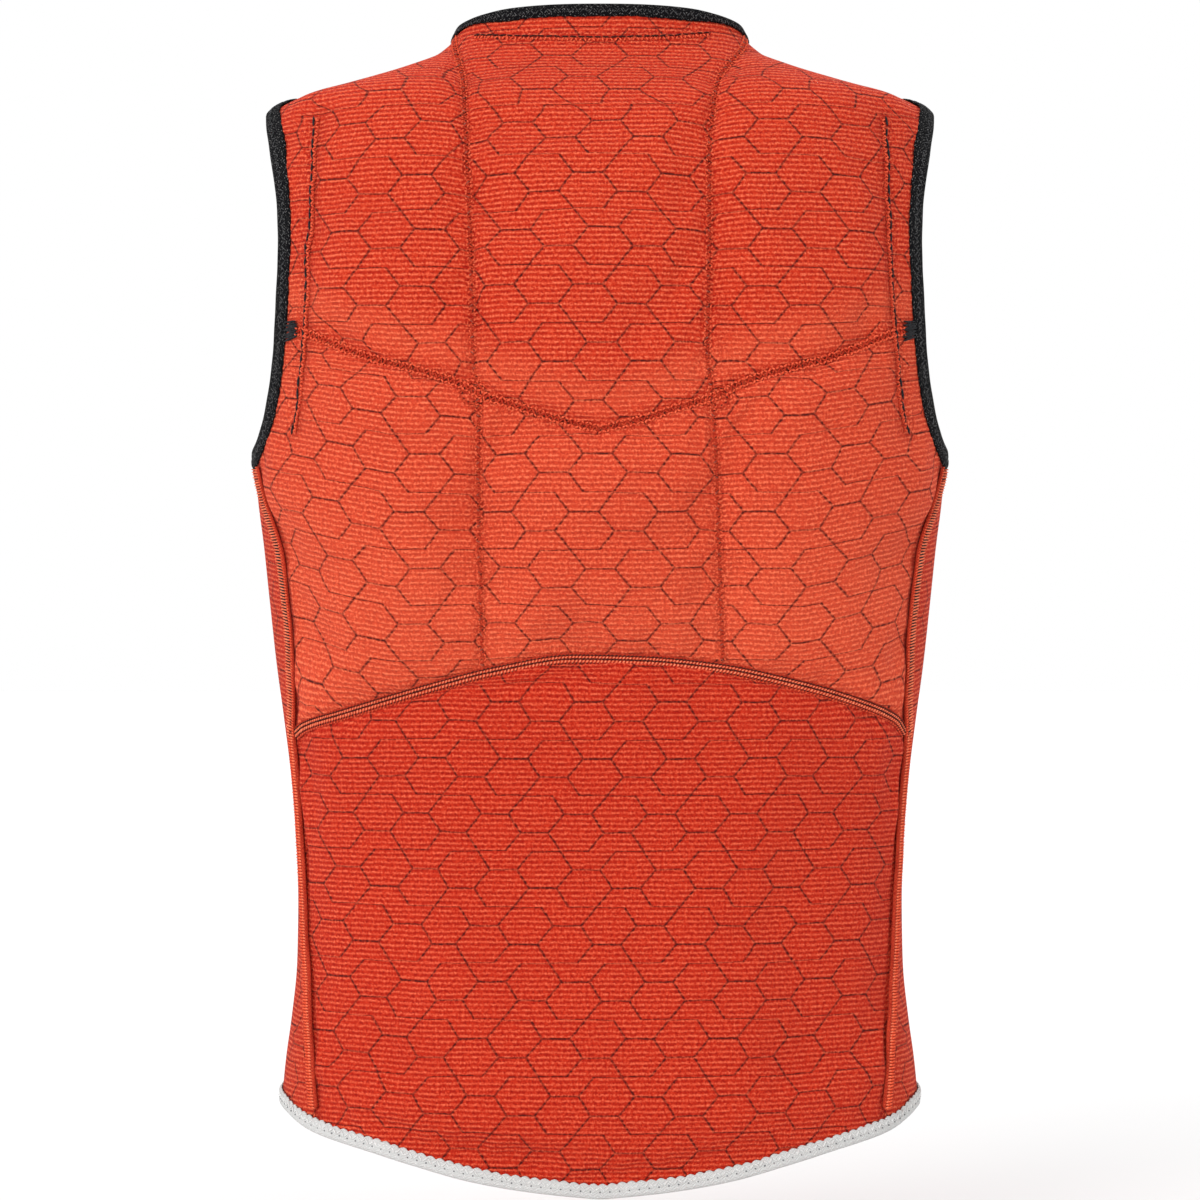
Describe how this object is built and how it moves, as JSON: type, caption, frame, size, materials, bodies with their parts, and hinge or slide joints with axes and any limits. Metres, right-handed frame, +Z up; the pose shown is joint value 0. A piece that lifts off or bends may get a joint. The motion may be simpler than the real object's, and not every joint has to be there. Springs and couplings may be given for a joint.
{
  "type": "impact vest",
  "caption": "Sleeveless padded impact vest shown inside out: ribbed lining, quilted back pads, bound neck, armholes and shirt-tail hem, raised side seams.",
  "frame": {"origin": "midway between the shoulders, at the height where they carry the vest (mount shoulders)", "axes": "+Z up, towards the neck; -Y the back of the vest, which the picture shows; +Y the chest; +X the wearer's right"},
  "size_m": [0.3822, 0.2366, 0.6348],
  "materials": {
    "lining": "matt ribbed boucle knit, orange red with thin dark lines",
    "black_binding": "matt black stretch binding",
    "white_binding": "matt off-white stretch binding",
    "seam_thread": "orange overlock and flatlock thread",
    "tack_thread": "dense black bar tack thread"
  },
  "bodies": {
    "root": {"back_upper_panel": "lining", "back_lower_panel": "lining", "side_panel_left": "lining", "side_panel_right": "lining", "front_panel": "lining", "neck_binding": "black_binding", "armhole_binding_left": "black_binding", "armhole_binding_right": "black_binding", "hem_binding": "white_binding", "back_side_seam_left": "seam_thread", "back_side_seam_right": "seam_thread", "front_side_seam_left": "seam_thread", "front_side_seam_right": "seam_thread", "waist_seam": "seam_thread", "bartack_left": "tack_thread", "bartack_right": "tack_thread"}
  },
  "joints": []
}
